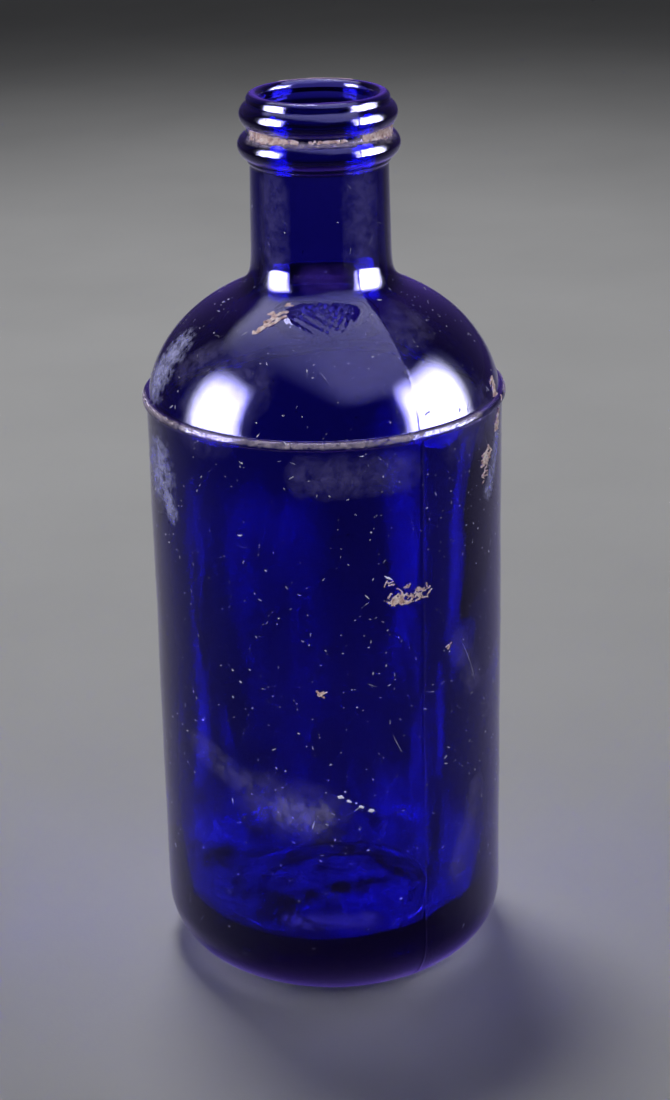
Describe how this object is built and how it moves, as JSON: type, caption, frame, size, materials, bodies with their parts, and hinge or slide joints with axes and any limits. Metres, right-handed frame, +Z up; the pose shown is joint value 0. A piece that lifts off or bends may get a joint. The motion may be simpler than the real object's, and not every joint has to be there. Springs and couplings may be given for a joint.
{
  "type": "glass bottle",
  "caption": "Round cobalt blue glass bottle with a domed shoulder above a raised bead, a straight neck and an open ringed mouth.",
  "frame": {"origin": "middle of the base on the surface the bottle stands on", "axes": "+Z up along the bottle's axis, -Y the front, +X to the right seen from the front"},
  "size_m": [0.071, 0.071, 0.1778],
  "materials": {
    "cobalt_glass": "glossy, lightly scratched, deep cobalt blue",
    "residue": "dry flaky crust"
  },
  "bodies": {
    "root": {"bottle": "cobalt_glass", "residue_flakes": "residue"}
  },
  "joints": []
}
